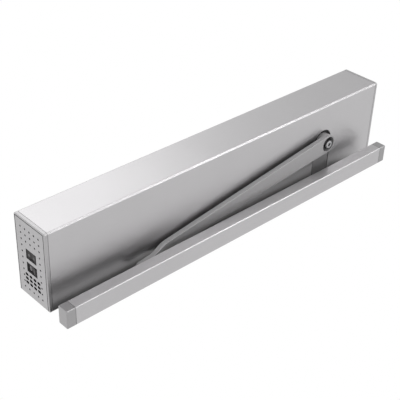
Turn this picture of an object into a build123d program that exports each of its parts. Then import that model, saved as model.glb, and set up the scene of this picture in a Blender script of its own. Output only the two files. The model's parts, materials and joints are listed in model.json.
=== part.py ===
# Swing door operator: a slim surface-mounted drive with a slide-channel arm.
# Frame: origin at the centre of the wall fixing pattern, +X along the housing, +Y into the wall, +Z up.
# The housing hangs on the wall over a door. Its spindle points down, and the arm reaches to the left
# into a slide rail that is screwed to the door leaf. All sizes are in millimetres.
from build123d import *
from math import acos, asin, atan2, cos, degrees, pi, radians, sin, sqrt, tan
import os

# Fits
running = 0.05              # radial clearance of a turning or sliding fit
seated = 0.02               # radial clearance of a fixed fit
face_gap = 0.3              # gap between neighbouring faces of separate pieces
seam = 0.5                  # open line between a cover or rail and its end caps

# Housing
length = 685.0
depth = 130.0
height = 70.0
cover_wall = 2.5
cover_edge_r = 3.0
wall_gap = 0.5              # cover and caps stop this far from the wall
cover_rib = 0.8             # stop rib inside the cover, behind the plate's flanges
cover_rib_width = 1.7
cap_thick = 5.5
cap_face = 2.5
cap_edge_r = 1.6
cap_rim = 1.5
cap_rim_reach = 8.0
cap_rim_gap = 0.2
cap_rim_from_wall = 22.0
cap_side = 3.0
cap_line = 1.2              # shadow line around the face of each cap
cap_line_in = 2.0
cap_line_deep = 0.8

# Wall plate
plate_t = 2.5
plate_flange = 16.0
plate_inset = 1.0           # plate's end to the cap's inner face
wall_hole_r = 3.25
wall_hole_in = 24.5         # corner fixings to the housing's ends
wall_hole_z = 40.0
cable_entry_x = 34.0
cable_entry_z = 24.0
cable_entry_in = 52.5       # cable entry and mains terminal to the housing's left end
drive_bay_margin = 4.0      # the flanges stop this far beside the gear case

# Left end cap pattern
vent_r = 1.5
vent_pitch_y = 10.17
vent_pitch_z = 10.35
vent_from_front = 14.95
vent_from_wall = 13.0       # least room behind the last row
vent_columns = 5
vent_front_rows = 3         # full rows in front of the windows
window_y = 16.0
window_z = 23.5
window_pitch = 22.0
window_off_middle = 1.0     # both windows to the cap's middle, towards the wall
slot_length = 7.0
slot_width = 4.6
slot_pitch_y = 7.0
slot_pitch_z = 9.3
slot_rows = 3
slot_columns = 4
slots_from_window = 14.0

# Spindle and the keyhole notch under it
spindle_inset = 133.0       # spindle axis to the housing's right end
spindle_off_middle = 0.3    # spindle axis to the middle of the gear case, towards the wall
spindle_r = 10.0
spindle_square = 13.0
seat_r = 11.5               # the gear and the cam sit on this radius
key_width = 4.0
hub_clearance = 0.8         # arm hub to the gear case
notch_r = 20.0
cover_mouth = 0.4           # broken edge around the notch
insert_gap = 1.3
insert_from_axis = 8.0
insert_hub_gap = 2.5
insert_peg_x = 12.0
insert_peg_y = -14.0
insert_t = 1.8
insert_recess = 0.6
insert_peg_r = 2.0
insert_peg_reach = 3.0

# Gear case
case_left = 118.0           # outer left wall to the spindle axis
case_right = 54.5           # outer right wall to the spindle axis
case_wall = 5.0
case_floor = 4.0
case_lid_t = 4.0
case_corner_r = 7.0
lid_screw_r = 1.5
lid_screw_sink = 2.0
corner_screw_in = 4.2
wall_screw_in = 3.1
case_screw_r = 3.0
ear_out = 9.0               # ear screw to the case's side wall
ear_r = 8.0
ear_t = 7.0
ear_bite = 4.5              # overlap of an ear with the case wall
ear_z = 19.0
bearing_outer_r = 18.5
bearing_width = 9.0
bearing_boss = 3.0
bush_outer_r = 7.0
bush_length = 8.0
bush_flange_r = 9.0
bush_flange_t = 1.5
bush_boss_r = 11.0
bush_boss_rise = 7.5
lid_bush_boss = 2.0
lid_bush_length = 5.0

# Gears, from the spindle back to the motor
pressure_angle = 25.0
backlash = 0.2
spindle_module = 2.0
spindle_teeth = 46
pinion_teeth = 14
reduction_module = 1.5
reduction_teeth = 41
motor_teeth = 13
reduction_room = 1.6        # reduction gear's teeth to the case wall
motor_room = 3.0            # motor's flange to the inside of the cover
spindle_gear_face = 17.0
reduction_face = 9.0
pinion_shaft_r = 5.0
reduction_seat_r = 8.0
pinion_overhang = 1.0
pinion_collar_r = 7.0

# Heights inside the gear case
gear_bottom = -6.0          # underside of the spindle gear
reduction_bottom = 14.0     # underside of the reduction gear
cam_mid = -14.5             # the cam, its roller and the closing spring share this height
cam_t = 9.0

# Cam and follower
cam_lift = 10.0             # follower travel for each radian of spindle rotation
cam_start = 28.0            # roller axis to spindle axis with the door closed
swing = 110.0               # spindle rotation from closed to open, degrees
cam_margin = 12.0           # lift profile beyond each end of the swing, degrees
cam_clearance = 0.15
cam_hub_r = 15.0
cam_hub_step = 1.0
roller_r = 8.0
roller_pin_r = 4.0
fork_cheek = 2.6
fork_width = 20.0
fork_slack = 0.3
carriage_length = 41.5
rod_r = 6.0
rod_end_r = 4.0
rod_end_out = 14.0

# Closing spring
spring_wire_r = 1.9
spring_mean_r = 11.4
spring_turns = 8
spring_length = 112.0
spring_plate_t = 4.0
spigot_length = 10.0
spigot_gap = 0.4
tube_inner_r = 14.5
tube_wall = 1.5
tube_end = 5.0
tension_screw_r = 5.0
tension_travel = 8.0
bush_wall = 2.5
guide_bush_length = 11.0
guide_bush_lead = 4.0

# Motor
motor_r = 19.0
motor_can = 80.0
motor_flange_t = 4.0
motor_flange_half = 20.5
motor_flange_r = 5.0
motor_screw_at = 16.0       # screws to the motor axis, along Y and along Z
motor_screw_r = 2.0
motor_bell = 14.0
encoder_r = 16.0
encoder_length = 10.0
motor_z = -6.0
motor_pilot_r = 14.0
motor_bell_r = 18.0
gearhead_half_y = 17.5
gearhead_half_x = 19.0
gearhead_below_gear = 4.0   # gearhead's top to the reduction gear's underside
motor_shaft_r = 4.0
motor_shaft_in = 12.0

# Arm
arm_length = 408.0          # spindle axis to slide pin axis
arm_t = 8.0
arm_gap = 5.0               # cover's underside to the arm
arm_head_r = 15.5
arm_end_r = 8.0
arm_hub_r = 15.0
arm_recess_r = 13.0
arm_recess = 8.5
arm_drop = 8.0              # crank of the arm towards the rail
arm_drop_before = 56.0      # start of the crank to the slide pin
arm_drop_run = 38.0
arm_edge = 0.6
arm_screw_r = 4.0
arm_screw_head_r = 6.5
arm_screw_head = 8.0
arm_screw_reach = 18.0
arm_washer_r = 12.0
arm_washer_t = 2.5
hex_across = 6.0

# Slide rail
rail_length = 675.0         # with both end caps
rail_centre_x = -6.5
rail_depth = 30.0
rail_height = 19.0
rail_gap = 3.0              # arm end to rail
rail_wall = 2.3
rail_slot = 10.5
rail_edge_r = 1.5
rail_cap = 15.0
rail_cap_wall = 2.0
rail_tongue = 14.0
rail_fixing_r = 2.75
buffer_length = 8.0
block_length = 34.0
block_gap = 0.5             # slide block to channel wall
slide_pin_r = 4.0
slide_pin_head_r = 6.5
slide_pin_head = 2.0

# Switches behind the left cap's windows
switch_gap = 0.3            # switch bezel to window
switch_recess = 0.7         # bezel behind the cap's face
switch_body = 26.0
rocker_y = 11.0
rocker_r = 10.0
rocker_above = 3.0          # pivot behind the middle of the rocker's face
rocker_below = 4.0
rocker_sink = 1.0
rocker_gap = 0.4
rocker_tilt = 8.0
trunnion_r = 1.5
trunnion_reach = 6.9
bracket_t = 1.5
bracket_from_cap = 6.0
bracket_past_window = 7.0
bracket_half_z = 28.0
bracket_foot = 18.0
bracket_foot_half = 12.0

# Electronics
tray_in = 150.5             # tray to the housing's left end
tray_length = 120.0
tray_wall = 2.0
tray_reach = 30.0
tray_half_z = 28.0
board_t = 1.6
board_lift = 8.0
supply_in = 80.5            # power supply to the housing's left end
supply_length = 57.0
supply_reach = 86.0
supply_half_z = 28.0
sheet_t = 1.2
supply_slot = 40.0
earth_in = 75.0             # earth stud to the housing's left end
inner_screw_r = 1.8
tray_screw_in = 10.0        # tray's screws to its ends
tray_post_r = 3.0
tray_post_in = 8.0
plug_pitch = 24.0
plug_size = (21.0, 9.0, 14.0)
plug_poles = 4
plug_pole = 5.0
plug_z = -18.0
front_z = 12.0              # centre line of the tall parts on the board
can_r = 7.0
can_tall = 28.0
can_pitch = 17.0
display_size = (22.0, 15.0, 12.0)
display_sunk = (18.0, 11.0)
display_in = 19.0
sink_side = 20.0
sink_in = 43.0
sink_fin = 4.8
supply_screw_z = 24.0
supply_slot_w = 3.0
supply_slot_pitch = 8.0
core_size = (42.0, 34.0, 39.0)
winding_size = (28.0, 40.0, 30.0)
winding_past_core = 8.0
terminal_half = 15.0
terminal_reach = 18.0
terminal_z = (15.0, 27.0)
terminal_pole = 9.0
clamp_z = (-26.0, -18.0)
clamp_arch_r = 9.0
clamp_cable_r = 5.5
clamp_screw_x = 12.5
earth_r = 2.5
earth_out = 12.0

# Derived places
half_length = length / 2
half_height = height / 2
front = -depth
inner_front = front + cover_wall
inner_half = half_height - cover_wall
cap_inner_x = half_length - cap_thick
plate_half = cap_inner_x - plate_inset
cover_half = cap_inner_x - seam
flange_z = inner_half - face_gap
spindle_x = half_length - spindle_inset
case_half = inner_half - 1.0
case_x0 = spindle_x - case_left
case_x1 = spindle_x + case_right
case_y0 = inner_front + 0.7
case_y1 = -plate_t - face_gap
spindle_y = (case_y0 + case_y1) / 2 + spindle_off_middle
case_top = case_half - case_lid_t
case_inner_floor = -case_half + case_floor
bush_seat_top = case_inner_floor + bush_boss_rise
spigot_r = spring_mean_r - spring_wire_r - spigot_gap
first_centres = spindle_module * (spindle_teeth + pinion_teeth) / 2
second_centres = reduction_module * (reduction_teeth + motor_teeth) / 2
reduction_tip_r = reduction_module * (reduction_teeth / 2 + 1)
gear_lean = (spindle_y - case_y0 - case_wall - reduction_room - reduction_tip_r) / first_centres
motor_lean = (spindle_y - inner_front - motor_room - motor_flange_half) / (first_centres + second_centres)
train_angle = 180 + degrees(asin(min(gear_lean, motor_lean)))
inter_x = spindle_x + first_centres * cos(radians(train_angle))
inter_y = spindle_y + first_centres * sin(radians(train_angle))
motor_x = inter_x + second_centres * cos(radians(train_angle))
motor_y = inter_y + second_centres * sin(radians(train_angle))
gear_top = gear_bottom + spindle_gear_face
reduction_top = reduction_bottom + reduction_face
bearing_low = -case_half + 0.5
bearing_high = case_half - 0.5 - bearing_width - 3.0
cam_low = cam_mid - cam_t / 2
cam_high = cam_mid + cam_t / 2
roller_x = spindle_x - cam_start
carriage_x0 = roller_x - carriage_length
tube_x1 = case_x0 - face_gap
spring_x1 = tube_x1 - guide_bush_lead - 12.0
spring_x0 = spring_x1 - spring_length
tube_x0 = spring_x0 - spring_plate_t - tension_travel - tube_end
arm_top = -half_height - arm_gap
arm_face = arm_top - arm_t
rail_top = arm_face - arm_drop - rail_gap
rail_low = rail_top - rail_height
rail_y = -rail_depth / 2
pin_y = rail_y
pin_x = spindle_x - sqrt(arm_length**2 - (pin_y - spindle_y) ** 2)
arm_angle = degrees(atan2(pin_y - spindle_y, pin_x - spindle_x))
rail_x0 = rail_centre_x - rail_length / 2
rail_x1 = rail_centre_x + rail_length / 2
wall_hole_x = length - 2 * wall_hole_in
terminal_x = -half_length + cable_entry_in
earth_x = -half_length + earth_in
supply_x = (-half_length + supply_in, -half_length + supply_in + supply_length)
tray_x = (-half_length + tray_in, -half_length + tray_in + tray_length)
window_centre_y = -depth / 2 + window_off_middle
slot_centre_y = window_centre_y + (window_pitch + window_y) / 2 + slots_from_window
vent_rows = int((depth - vent_from_front - vent_from_wall) / vent_pitch_y) + 1


def block(x0, x1, y0, y1, z0, z1):
    """Straight block between two corners."""
    middle = Pos((x0 + x1) / 2, (y0 + y1) / 2, (z0 + z1) / 2)
    return middle * Box(abs(x1 - x0), abs(y1 - y0), abs(z1 - z0))


def post(x, y, r, z0, z1):
    """Round piece along Z."""
    return Pos(x, y, (z0 + z1) / 2) * Cylinder(r, z1 - z0)


def bar_x(y, z, r, x0, x1):
    """Round piece along X."""
    return Pos((x0 + x1) / 2, y, z) * Rot(0, 90, 0) * Cylinder(r, x1 - x0)


def bar_y(x, z, r, y0, y1):
    """Round piece along Y."""
    return Pos(x, (y0 + y1) / 2, z) * Rot(90, 0, 0) * Cylinder(r, y1 - y0)


def edges_along(part, axis):
    """Edges of a part that run along one axis."""
    return part.edges().filter_by(axis)


# Housing

def drive_bay():
    """Stretch of the housing where the plate's flanges and the cover's ribs are left out."""
    return case_x0 - drive_bay_margin, case_x1 + drive_bay_margin


def mounting_plate():
    """Wall plate: a shallow channel that the drive and the electronics are screwed to."""
    outer = block(-plate_half, plate_half, -plate_flange, 0, -flange_z, flange_z)
    back = edges_along(outer, Axis.X).sort_by(Axis.Y)[2:]
    inner = block(-length, length, -depth, -plate_t, -flange_z + plate_t, flange_z - plate_t)
    plate = fillet(back, plate_t) - inner
    plate -= block(*drive_bay(), -depth, -plate_t, -height, height)
    corners = GridLocations(wall_hole_x, wall_hole_z, 2, 2)
    holes = [Vector(place.position.X, 0, place.position.Y) for place in corners]
    holes += [Vector(0, 0, side * wall_hole_z / 2) for side in (-1, 1)]
    for hole in holes:
        plate -= bar_y(hole.X, hole.Z, wall_hole_r, -plate_t - 1, 1)
    entry = Pos(terminal_x, 1, 0) * Rot(90, 0, 0) * extrude(
        RectangleRounded(cable_entry_x, cable_entry_z, 4), plate_t + 2)
    plate -= entry
    for x, z in case_ears():
        plate -= bar_y(x, z, case_screw_r - 0.4, -plate_t - 1, 1)
    for x, z, _ in inner_screw_places():
        plate -= bar_y(x, z, inner_screw_r + seated, -plate_t - 1, 1)
    return plate


def notch(grow, z0, z1):
    """Keyhole outline under the spindle: a round head with straight sides down to the wall."""
    head = Pos(spindle_x, spindle_y) * Circle(notch_r + grow)
    sides = Pos(spindle_x, spindle_y / 2) * Rectangle(2 * (notch_r + grow), -spindle_y)
    return Pos(0, 0, z0) * extrude(head + sides, z1 - z0)


def cover():
    """U-shaped shell of drawn aluminium, open to the wall and at both ends."""
    outer = block(-cover_half, cover_half, front, -wall_gap, -half_height, half_height)
    outer = fillet(edges_along(outer, Axis.X).sort_by(Axis.Y)[:2], cover_edge_r)
    inner = block(-length, length, inner_front, depth, -inner_half, inner_half)
    shell = outer - inner
    rib_y = -plate_flange - face_gap
    bay_x0, bay_x1 = drive_bay()
    for side in (-1, 1):
        for x0, x1 in ((-cover_half, bay_x0), (bay_x1, cover_half)):
            shell += block(x0, x1, rib_y - cover_rib_width, rib_y,
                           side * inner_half, side * (inner_half - cover_rib))
    shell -= notch(0, -half_height - 1, -inner_half + 1.0)
    mouth = [edge for edge in shell.edges() if edge.center().Z < -half_height + 0.01
             and abs(edge.center().X - spindle_x) < notch_r + 1]
    return chamfer(mouth, cover_mouth)


def notch_insert():
    """Panel that closes the straight part of the notch once the cover is on."""
    low = -half_height + insert_recess
    panel = notch(-insert_gap, low, low + insert_t)
    panel &= block(spindle_x - depth, spindle_x + depth, spindle_y + insert_from_axis, -wall_gap - 0.5,
                   -height, height)
    panel -= post(spindle_x, spindle_y, arm_hub_r + insert_hub_gap, -height, height)
    for side in (-1, 1):
        peg = post(spindle_x + side * insert_peg_x, insert_peg_y, insert_peg_r,
                   low + insert_t, -case_half + insert_peg_reach)
        panel += peg
        foot = post(spindle_x + side * insert_peg_x, insert_peg_y, 2 * insert_peg_r,
                    low + insert_t, -case_half - face_gap)
        panel += foot
    return panel


def cap_blank(side):
    """End cap without openings: a face with rounded edges and a rim that plugs into the cover."""
    outer_x = side * half_length
    inner_x = side * cap_inner_x
    rim_x = side * (cap_inner_x - cap_rim_reach)
    cap = block(outer_x, inner_x, front, -wall_gap, -half_height, half_height)
    cap = fillet(edges_along(cap, Axis.X).sort_by(Axis.Y)[:2], cover_edge_r)
    face = cap.faces().sort_by(Axis.X)[-1 if side > 0 else 0]
    cap = fillet(face.edges(), cap_edge_r)
    line_x = outer_x - side * cap_line_deep
    line_y = front + cap_line_in
    line_z = half_height - cap_line_in
    cap -= (block(line_x, outer_x + side, line_y, 1, -line_z, line_z)
            - block(line_x - side, outer_x + 2 * side, line_y + cap_line, 2,
                    cap_line - line_z, line_z - cap_line))
    rim_front = inner_front + cap_rim_gap
    rim_z = inner_half - cap_rim_gap
    rim = block(rim_x, inner_x, rim_front, -cap_rim_from_wall, -rim_z, rim_z)
    pocket = block(rim_x - side, side * (half_length - cap_face), rim_front + cap_rim, -cap_side,
                   -rim_z + cap_rim, rim_z - cap_rim)
    mouth = block(rim_x - side, inner_x, rim_front + cap_rim, depth, -rim_z + cap_rim, rim_z - cap_rim)
    return cap + rim - pocket - mouth


def end_cap_right():
    return cap_blank(1)


def window_places():
    """Centres of the two switch windows, Y and Z, the front one first."""
    return [(window_centre_y - window_pitch / 2, 0.0), (window_centre_y + window_pitch / 2, 0.0)]


def end_cap_left():
    """Left cap: a frame of small vents, two switch windows and a block of slots."""
    cap = cap_blank(-1)
    through = -half_length - 1
    cut = cap_face + 2
    face = Plane(origin=(through, 0, 0), x_dir=(0, 1, 0), z_dir=(1, 0, 0))
    vents = []
    for row in range(vent_rows):
        for column in range(vent_columns):
            edge_column = column in (0, vent_columns - 1)
            full_row = row < vent_front_rows or row == vent_rows - 1
            if edge_column or full_row:
                y = front + vent_from_front + row * vent_pitch_y
                z = (column - (vent_columns - 1) / 2) * vent_pitch_z
                vents.append((y, z))
    openings = Sketch() + [Pos(y, z) * Circle(vent_r) for y, z in vents]
    openings += [Pos(y, z) * Rectangle(window_y, window_z) for y, z in window_places()]
    slot = Rot(0, 0, 90) * SlotOverall(slot_length, slot_width)
    openings += [Pos(slot_centre_y, 0) * place * slot
                 for place in GridLocations(slot_pitch_y, slot_pitch_z, slot_rows, slot_columns)]
    return cap - extrude(face * openings, cut)


# Gear case

def case_ears():
    """Places of the four screws that hold the gear case to the plate, X and Z."""
    return [(x, side * ear_z) for x in (case_x0 - ear_out, case_x1 + ear_out) for side in (-1, 1)]


def lid_screw_places():
    """Screws along the rim of the gear case, X and Y: four corners and two along each long wall."""
    third = (case_x1 - case_x0) / 3
    places = []
    for inset_x, inset_y in ((corner_screw_in, corner_screw_in), (third, wall_screw_in)):
        places += [(x, y) for x in (case_x0 + inset_x, case_x1 - inset_x)
                   for y in (case_y0 + inset_y, case_y1 - inset_y)]
    return places


def case_outline(inset):
    """Plan of the gear case, grown inwards by a distance."""
    wide = case_x1 - case_x0 - 2 * inset
    deep = case_y1 - case_y0 - 2 * inset
    middle = Pos((case_x0 + case_x1) / 2, (case_y0 + case_y1) / 2)
    return middle * RectangleRounded(wide, deep, max(case_corner_r - inset, 2))


def gear_case():
    """Cast tray with seats for the bearings, the motor, the guide bush and the spring tube."""
    case = Pos(0, 0, -case_half) * extrude(case_outline(0), case_top + case_half)
    case -= Pos(0, 0, case_inner_floor) * extrude(case_outline(case_wall), height)
    for x, z in case_ears():
        reach = case_x0 + ear_bite if x < spindle_x else case_x1 - ear_bite
        ear = Pos(x, case_y1, z) * Rot(90, 0, 0) * extrude(Circle(ear_r), ear_t)
        bridge = block(x, reach, case_y1 - ear_t, case_y1, z - ear_r, z + ear_r)
        case += ear + bridge
        case -= bar_y(x, z, case_screw_r + 0.3, case_y1 - ear_t - 1, case_y1 + 1)
    bearing_seat_top = bearing_low + bearing_width
    case += post(spindle_x, spindle_y, bearing_outer_r + bearing_boss, -case_half, bearing_seat_top + 1)
    case -= post(spindle_x, spindle_y, bearing_outer_r + seated, -case_half - 1, bearing_seat_top)
    case -= post(spindle_x, spindle_y, bearing_outer_r - 4, -case_half - 1, case_top)
    case += post(inter_x, inter_y, bush_boss_r, -case_half, bush_seat_top)
    case -= post(inter_x, inter_y, bush_outer_r + seated, bush_seat_top - bush_length, case_top)
    case += bar_x(spindle_y, cam_mid, tube_inner_r - seated, case_x0 - guide_bush_lead, case_x0 + 1)
    case -= bar_x(spindle_y, cam_mid, rod_r + bush_wall + seated, case_x0 - depth, case_x0 + case_wall + 1)
    case -= bar_x(motor_y, motor_z, motor_pilot_r + seated, case_x0 - 1, case_x0 + case_wall + 1)
    for y, z in motor_screw_places():
        case -= bar_x(y, z, motor_screw_r + 0.2, case_x0 - 1, case_x0 + case_wall + 1)
    for x, y in lid_screw_places():
        case -= post(x, y, lid_screw_r - 0.25, case_top - 10, case_top + 1)
    for side in (-1, 1):
        case -= post(spindle_x + side * insert_peg_x, insert_peg_y, insert_peg_r + running,
                     -case_half - 1, -case_half + insert_peg_reach + 0.5)
    return case


def gear_case_lid():
    """Lid with the upper bearing seats on its inside."""
    lid = Pos(0, 0, case_top) * extrude(case_outline(0), case_lid_t)
    lid = chamfer(lid.faces().sort_by(Axis.Z)[-1].edges(), 0.8)
    lid += post(spindle_x, spindle_y, bearing_outer_r + bearing_boss, bearing_high, case_top + 1)
    lid -= post(spindle_x, spindle_y, bearing_outer_r + seated,
                bearing_high - 1, bearing_high + bearing_width)
    lid -= post(spindle_x, spindle_y, bearing_outer_r - 4, bearing_high - 1, case_half + 1)
    lid += post(inter_x, inter_y, bush_boss_r, case_top - lid_bush_boss, case_top + 1)
    lid -= post(inter_x, inter_y, bush_outer_r + seated, case_top - lid_bush_boss - 1,
                case_top - lid_bush_boss + lid_bush_length + face_gap)
    for x, y in lid_screw_places():
        lid -= post(x, y, lid_screw_r + 0.2, case_top - 1, case_half + 1)
        lid -= post(x, y, 2 * lid_screw_r, case_half - lid_screw_sink, case_half + 1)
    return lid


def lid_screws():
    """Socket screws of the lid, heads sunk in their recesses."""
    screws = []
    for x, y in lid_screw_places():
        head = post(x, y, 2 * lid_screw_r - 0.2, case_half - lid_screw_sink, case_half)
        shank = post(x, y, lid_screw_r - 0.27, case_top - 8, case_half - lid_screw_sink)
        screws.append(head + shank - hex_socket(x, y, case_half, lid_screw_r, 1.2))
    return screws


def hex_socket(x, y, z, across_r, deep):
    """Hexagonal socket cut downwards from a height."""
    return Pos(x, y, z - deep) * extrude(RegularPolygon(across_r, 6), deep + 1)


def case_screws():
    """Screws through the case's ears into the wall plate."""
    screws = []
    for x, z in case_ears():
        head_y = case_y1 - ear_t
        head = bar_y(x, z, 1.7 * case_screw_r, head_y - 1.6 * case_screw_r, head_y)
        shank = bar_y(x, z, case_screw_r - 0.42, head_y, -0.3)
        screws.append(head + shank)
    return screws


def spindle_bearings():
    """Two sealed ball bearings, each a ring with shields set back between its races."""
    rings = []
    for low in (bearing_low, bearing_high):
        ring = post(spindle_x, spindle_y, bearing_outer_r, low, low + bearing_width)
        ring -= post(spindle_x, spindle_y, spindle_r + running, low - 1, low + bearing_width + 1)
        shield = post(spindle_x, spindle_y, bearing_outer_r - 2.5, low - 1, low + 0.6)
        shield -= post(spindle_x, spindle_y, spindle_r + 2.5, low - 2, low + 2)
        rings.append(ring - shield - Pos(0, 0, bearing_width + 0.4) * shield)
    return rings


def bush(low, long, flange_up):
    """Flanged plain bush for the intermediate shaft."""
    body = post(inter_x, inter_y, bush_outer_r, low, low + long)
    flange_low = low + long if flange_up else low - bush_flange_t
    body += post(inter_x, inter_y, bush_flange_r, flange_low, flange_low + bush_flange_t)
    return body - post(inter_x, inter_y, pinion_shaft_r + running, -height, height)


def intermediate_bushes():
    """Lower bush with its flange up, and upper bush with its flange down."""
    seat_low = bush_seat_top - bush_length
    return [bush(seat_low, bush_length, True),
            bush(case_top - lid_bush_boss, lid_bush_length, False)]


# Gears

def polar(r, angle):
    return (r * cos(angle), r * sin(angle))


def gear_outline(module, teeth, phase):
    """Involute outline about the origin with one tooth centred on the phase, in degrees."""
    pitch_r = module * teeth / 2
    base_r = pitch_r * cos(radians(pressure_angle))
    tip_r = pitch_r + module
    root_r = pitch_r - 1.25 * module
    foot_r = max(base_r, root_r)
    start = radians(pressure_angle)
    half_tooth = (pi * module / 2 - backlash / 2) / (2 * pitch_r) + tan(start) - start

    def half_angle(r):
        roll = acos(min(base_r / r, 1.0))
        return half_tooth - tan(roll) + roll

    flank = (foot_r, (foot_r + tip_r) / 2, tip_r)
    step = 2 * pi / teeth
    foot_turn = half_angle(foot_r)
    edges = []
    for tooth in range(teeth):
        middle = radians(phase) + tooth * step
        rising = [polar(r, middle - half_angle(r)) for r in flank]
        falling = [polar(r, middle + half_angle(r)) for r in reversed(flank)]
        valley = [polar(root_r, middle + foot_turn), polar(root_r, middle + step / 2),
                  polar(root_r, middle + step - foot_turn)]
        edges.append(ThreePointArc(*rising))
        edges.append(ThreePointArc(rising[2], polar(tip_r, middle), falling[0]))
        edges.append(ThreePointArc(*falling))
        if foot_r > root_r:
            edges.append(Line(falling[2], valley[0]))
            edges.append(Line(valley[2], polar(foot_r, middle + step - foot_turn)))
        edges.append(ThreePointArc(*valley))
    return make_face(edges)


def gap_phase(teeth):
    """Phase of a pinion with a gap on the centre line, where its mate has a tooth."""
    return train_angle + 180.0 + 180.0 / teeth


def dished(gear, x, y, hub_r, rim_r, low, high, recess, holes):
    """Thins a gear's web from both sides and pierces it with round holes."""
    ring = post(x, y, rim_r, low - 1, low + recess) - post(x, y, hub_r, low - 2, low + recess + 1)
    gear -= ring
    gear -= Pos(0, 0, high - low - recess + 1) * ring
    middle_r = (hub_r + rim_r) / 2
    for place in PolarLocations(middle_r, holes):
        at = place.position
        gear -= post(x + at.X, y + at.Y, (rim_r - hub_r) / 3, low - 1, high + 1)
    return gear


def spindle_gear():
    """Output gear, keyed to the spindle."""
    outline = gear_outline(spindle_module, spindle_teeth, train_angle)
    gear = Pos(spindle_x, spindle_y, gear_bottom) * extrude(outline, spindle_gear_face)
    rim_r = spindle_module * (spindle_teeth / 2 - 1.25) - 5
    gear = dished(gear, spindle_x, spindle_y, seat_r + 7, rim_r, gear_bottom, gear_top, 4.5, 5)
    gear -= post(spindle_x, spindle_y, seat_r + seated, -height, height)
    return gear - key_bar(gear_bottom - 1, gear_top + 1, seated)


def key_bar(low, high, grow):
    """Parallel key on the spindle's seat."""
    half = key_width / 2 + grow
    return block(spindle_x + seat_r - key_width / 2 - grow, spindle_x + seat_r + key_width / 2 + grow,
                 spindle_y - half, spindle_y + half, low, high)


def spindle_keys():
    """One key under the gear and one under the cam."""
    return [key_bar(gear_bottom + 1, gear_top - 1, 0), key_bar(cam_low + 0.5, cam_high - 0.5, 0)]


def spindle():
    """Stepped shaft with a square at each end, a keyway and a tapped hole for the arm screw."""
    low_end = arm_face + arm_recess + face_gap
    hub_top = -case_half - hub_clearance
    shaft = post(spindle_x, spindle_y, spindle_r, hub_top + face_gap, bearing_high + bearing_width + 0.2)
    shaft += post(spindle_x, spindle_y, seat_r, bearing_low + bearing_width + 0.6, bearing_high - 0.6)
    ends = [(low_end, hub_top + face_gap), (bearing_high + bearing_width + 0.2, case_half - face_gap)]
    for low, high in ends:
        square = Pos(spindle_x, spindle_y, low) * extrude(
            Rot(0, 0, arm_angle) * RectangleRounded(spindle_square, spindle_square, 1.5), high - low)
        shaft += square
    shaft -= post(spindle_x, spindle_y, arm_screw_r + seated, low_end - 1,
                  arm_face + arm_recess - arm_washer_t + arm_screw_reach + 2)
    shaft -= key_bar(gear_bottom + 1, gear_top - 1, seated)
    shaft -= key_bar(cam_low + 0.5, cam_high - 0.5, seated)
    return shaft


def cam_point(turn):
    """Point of the lift profile: the roller's spiral path offset inwards by the roller."""
    r = cam_start + cam_lift * turn
    angle = pi - turn
    tangent = (cam_lift * cos(angle) + r * sin(angle), cam_lift * sin(angle) - r * cos(angle))
    size = sqrt(tangent[0] ** 2 + tangent[1] ** 2)
    inward = (-tangent[1] / size, tangent[0] / size)
    at = (r * cos(angle), r * sin(angle))
    if inward[0] * at[0] + inward[1] * at[1] > 0:
        inward = (-inward[0], -inward[1])
    offset = roller_r + cam_clearance
    return (at[0] + inward[0] * offset, at[1] + inward[1] * offset)


def cam_disc():
    """Closing cam: an even spiral over the swing, then a smooth return to the low point."""
    first = radians(-cam_margin)
    last = radians(swing + cam_margin)
    steps = 18
    lift = [cam_point(first + (last - first) * step / steps) for step in range(steps + 1)]
    high_r, low_r = (sqrt(p[0] ** 2 + p[1] ** 2) for p in (lift[-1], lift[0]))
    high_a = atan2(lift[-1][1], lift[-1][0])
    low_a = atan2(lift[0][1], lift[0][0])
    back = [lift[-1]]
    count = 9
    for step in range(1, count):
        share = step / count
        blend = (1 - cos(pi * share)) / 2
        back.append(polar(high_r + (low_r - high_r) * blend, high_a + (low_a - high_a) * share))
    back.append(lift[0])
    outline = make_face([Spline(*lift), Spline(*back)])
    cam = Pos(spindle_x, spindle_y, cam_low) * extrude(outline, cam_t)
    cam += post(spindle_x, spindle_y, cam_hub_r, cam_low - cam_hub_step, cam_high + cam_hub_step)
    cam -= post(spindle_x, spindle_y, seat_r + seated, -height, height)
    return cam - key_bar(-height, height, seated)


def intermediate_shaft():
    """Shaft with the pinion that drives the spindle gear cut on it."""
    outline = gear_outline(spindle_module, pinion_teeth, gap_phase(pinion_teeth))
    shaft = Pos(inter_x, inter_y, gear_bottom) * extrude(outline, spindle_gear_face)
    seat_low = bush_seat_top + bush_flange_t + face_gap
    seat_high = case_top - lid_bush_boss - bush_flange_t - face_gap
    shaft += post(inter_x, inter_y, reduction_seat_r, seat_low, seat_high)
    shaft += post(inter_x, inter_y, pinion_shaft_r, case_inner_floor + 0.5, case_half - 1.5)
    return shaft


def reduction_gear():
    """Large gear on the intermediate shaft."""
    outline = gear_outline(reduction_module, reduction_teeth, train_angle)
    gear = Pos(inter_x, inter_y, reduction_bottom) * extrude(outline, reduction_face)
    rim_r = reduction_module * (reduction_teeth / 2 - 1.25) - 4
    gear = dished(gear, inter_x, inter_y, reduction_seat_r + 5, rim_r,
                  reduction_bottom, reduction_top, 2.5, 4)
    return gear - post(inter_x, inter_y, reduction_seat_r + seated, -height, height)


def motor_pinion():
    """Pinion on the gearhead's output shaft."""
    outline = gear_outline(reduction_module, motor_teeth, gap_phase(motor_teeth))
    low = reduction_bottom - pinion_overhang
    pinion = Pos(motor_x, motor_y, low) * extrude(outline, reduction_face + 2 * pinion_overhang)
    top = reduction_bottom - gearhead_below_gear
    pinion += post(motor_x, motor_y, pinion_collar_r, top + face_gap, low)
    pinion += post(motor_x, motor_y, motor_shaft_r, top - motor_shaft_in, low)
    return pinion


# Cam follower and closing spring

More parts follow.
